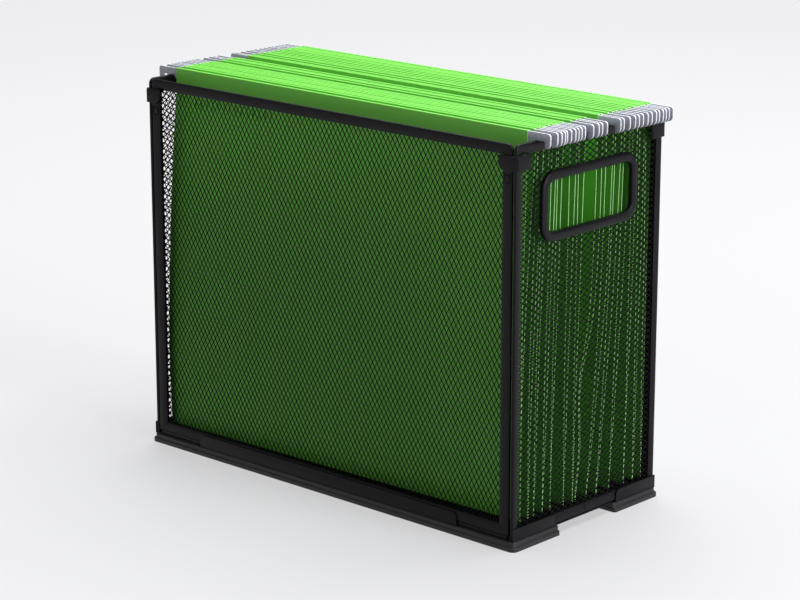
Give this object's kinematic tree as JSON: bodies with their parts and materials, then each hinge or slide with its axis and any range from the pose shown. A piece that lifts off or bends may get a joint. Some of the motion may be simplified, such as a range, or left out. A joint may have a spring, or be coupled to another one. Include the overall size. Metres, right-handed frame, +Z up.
{
  "type": "hanging file rack",
  "caption": "Open-topped black mesh rack with hand holes in both ends, and green card folders hung by steel bars across its end rails.",
  "frame": {"origin": "on the floor, under the middle of the rack", "axes": "+X along the long side, +Y from the front panel to the back panel, +Z up"},
  "size_m": [0.3526, 0.1496, 0.2665],
  "materials": {
    "black_steel": "satin black powder coat, a little wear at the edges",
    "black_mesh": "satin black powder coat on expanded steel mesh",
    "black_feet": "satin black moulded plastic",
    "bar_steel": "pale blue-grey coated steel strip, brighter at cut edges",
    "green_card": "bright green coloured card, matt"
  },
  "bodies": {
    "rack": {"back_frame": "black_steel", "back_mesh": "black_mesh", "base_lips": "black_steel", "base_sheet": "black_steel", "corner_clip_back_left": "black_steel", "corner_clip_back_right": "black_steel", "corner_clip_front_left": "black_steel", "corner_clip_front_right": "black_steel", "foot_runner_back": "black_feet", "foot_runner_front": "black_feet", "front_frame": "black_steel", "front_mesh": "black_mesh", "left_frame": "black_steel", "left_hand_rim": "black_steel", "left_mesh": "black_mesh", "right_frame": "black_steel", "right_hand_rim": "black_steel", "right_mesh": "black_mesh"},
    "folder_01": {"folder_01_back_leaf": "green_card", "folder_01_bars": "bar_steel", "folder_01_front_leaf": "green_card"},
    "folder_02": {"folder_02_back_leaf": "green_card", "folder_02_bars": "bar_steel", "folder_02_front_leaf": "green_card"},
    "folder_03": {"folder_03_back_leaf": "green_card", "folder_03_bars": "bar_steel", "folder_03_front_leaf": "green_card"},
    "folder_04": {"folder_04_back_leaf": "green_card", "folder_04_bars": "bar_steel", "folder_04_front_leaf": "green_card"},
    "folder_05": {"folder_05_back_leaf": "green_card", "folder_05_bars": "bar_steel", "folder_05_front_leaf": "green_card"},
    "folder_06": {"folder_06_back_leaf": "green_card", "folder_06_bars": "bar_steel", "folder_06_front_leaf": "green_card"},
    "folder_07": {"folder_07_back_leaf": "green_card", "folder_07_bars": "bar_steel", "folder_07_front_leaf": "green_card"},
    "folder_08": {"folder_08_back_leaf": "green_card", "folder_08_bars": "bar_steel", "folder_08_front_leaf": "green_card"},
    "folder_09": {"folder_09_back_leaf": "green_card", "folder_09_bars": "bar_steel", "folder_09_front_leaf": "green_card"},
    "folder_10": {"folder_10_back_leaf": "green_card", "folder_10_bars": "bar_steel", "folder_10_front_leaf": "green_card"},
    "folder_11": {"folder_11_back_leaf": "green_card", "folder_11_bars": "bar_steel", "folder_11_front_leaf": "green_card"},
    "folder_12": {"folder_12_back_leaf": "green_card", "folder_12_bars": "bar_steel", "folder_12_front_leaf": "green_card"},
    "folder_13": {"folder_13_back_leaf": "green_card", "folder_13_bars": "bar_steel", "folder_13_front_leaf": "green_card"},
    "folder_14": {"folder_14_back_leaf": "green_card", "folder_14_bars": "bar_steel", "folder_14_front_leaf": "green_card"}
  },
  "joints": [
    {"name": "folder_01_lift", "type": "slide", "parent": "rack", "child": "folder_01", "axis": [0, 0.0468, 0.9989], "range_m": [0, 0.255]},
    {"name": "folder_02_lift", "type": "slide", "parent": "rack", "child": "folder_02", "axis": [0, 0.0417, 0.9991], "range_m": [0, 0.255]},
    {"name": "folder_03_lift", "type": "slide", "parent": "rack", "child": "folder_03", "axis": [0, 0.0396, 0.9992], "range_m": [0, 0.255]},
    {"name": "folder_04_lift", "type": "slide", "parent": "rack", "child": "folder_04", "axis": [0, 0.0358, 0.9994], "range_m": [0, 0.255]},
    {"name": "folder_05_lift", "type": "slide", "parent": "rack", "child": "folder_05", "axis": [0, 0.0315, 0.9995], "range_m": [0, 0.255]},
    {"name": "folder_06_lift", "type": "slide", "parent": "rack", "child": "folder_06", "axis": [0, 0.0277, 0.9996], "range_m": [0, 0.255]},
    {"name": "folder_07_lift", "type": "slide", "parent": "rack", "child": "folder_07", "axis": [0, 0.0256, 0.9997], "range_m": [0, 0.255]},
    {"name": "folder_08_lift", "type": "slide", "parent": "rack", "child": "folder_08", "axis": [0, 0.0532, 0.9986], "range_m": [0, 0.255]},
    {"name": "folder_09_lift", "type": "slide", "parent": "rack", "child": "folder_09", "axis": [0, 0.0502, 0.9987], "range_m": [0, 0.255]},
    {"name": "folder_10_lift", "type": "slide", "parent": "rack", "child": "folder_10", "axis": [0, 0.046, 0.9989], "range_m": [0, 0.255]},
    {"name": "folder_11_lift", "type": "slide", "parent": "rack", "child": "folder_11", "axis": [0, 0.0383, 0.9993], "range_m": [0, 0.255]},
    {"name": "folder_12_lift", "type": "slide", "parent": "rack", "child": "folder_12", "axis": [0, 0.0315, 0.9995], "range_m": [0, 0.255]},
    {"name": "folder_13_lift", "type": "slide", "parent": "rack", "child": "folder_13", "axis": [0, 0.0264, 0.9997], "range_m": [0, 0.255]},
    {"name": "folder_14_lift", "type": "slide", "parent": "rack", "child": "folder_14", "axis": [0, 0.0234, 0.9997], "range_m": [0, 0.255]}
  ]
}
